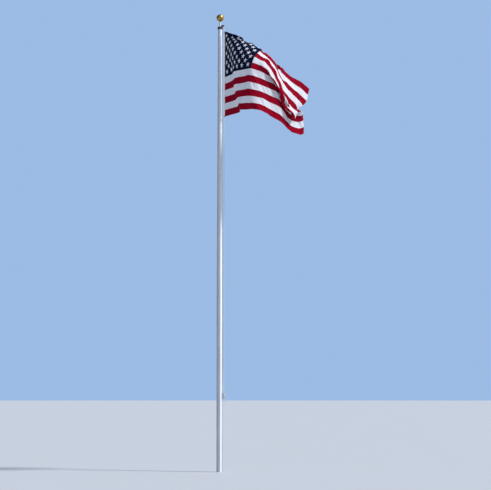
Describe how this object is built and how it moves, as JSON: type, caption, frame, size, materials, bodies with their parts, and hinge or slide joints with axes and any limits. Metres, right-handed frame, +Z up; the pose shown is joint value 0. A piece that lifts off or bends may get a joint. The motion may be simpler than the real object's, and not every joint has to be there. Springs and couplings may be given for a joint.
{
  "type": "flagpole",
  "caption": "Tapered aluminium flagpole with gold ball, side sheave truck, halyard, cleat and a striped flag flying.",
  "frame": {"origin": "middle of the shaft's foot, where the pole enters the ground", "axes": "+Z up along the shaft, +X to the right in the picture, the viewer looks along +Y"},
  "size_m": [1.9545, 1.1697, 9.4204],
  "materials": {
    "satin_aluminium": "satin, brushed along the shaft",
    "dark_casting": "dark, weathered",
    "cast_aluminium": "as cast",
    "zinc_steel": "zinc plated",
    "gold": "gold anodised, satin",
    "bronze": "dull bronze",
    "brass": "stamped brass",
    "white_rope": "braided",
    "canvas": "woven canvas",
    "bunting": "woven bunting in red, white and blue"
  },
  "bodies": {
    "root": {"pole_shaft": "satin_aluminium", "butt_plug": "satin_aluminium", "truck_cap": "dark_casting", "truck_set_screws": "zinc_steel", "sheave_pin": "zinc_steel", "split_pin": "zinc_steel", "ball_spindle": "zinc_steel", "ball_stem": "satin_aluminium", "ball_collar": "gold", "ball": "gold", "cleat": "cast_aluminium", "cleat_screws": "zinc_steel", "cleat_hitch": "white_rope", "halyard": "white_rope"},
    "sheave": {"sheave": "cast_aluminium", "sheave_bushing": "bronze"},
    "ties": {"upper_tie": "white_rope", "lower_tie": "white_rope"},
    "flag": {"flag_heading": "canvas", "flag_cloth": "bunting", "upper_grommet": "brass", "upper_snap_hook": "bronze", "upper_snap_eye": "bronze", "lower_grommet": "brass", "lower_snap_hook": "bronze", "lower_snap_eye": "bronze"}
  },
  "joints": [
    {"name": "flag_hoist", "type": "slide", "parent": "root", "child": "ties", "axis": [0, 0, -1], "range_m": [0, 4.8]},
    {"name": "flag_swing", "type": "hinge", "parent": "ties", "child": "flag", "pos_m": [0.0888, -0.03232, 8.144], "axis": [0, 0, 1], "range_deg": [-50, 140]},
    {"name": "sheave_spin", "type": "hinge", "parent": "root", "child": "sheave", "pos_m": [0.07189, -0.02616, 9.176], "axis": [0.342, 0.9397, 0], "continuous": true}
  ],
  "couplings": [
    {"joint": "sheave_spin", "follows": "flag_hoist", "rad_per_m": 55.556}
  ]
}
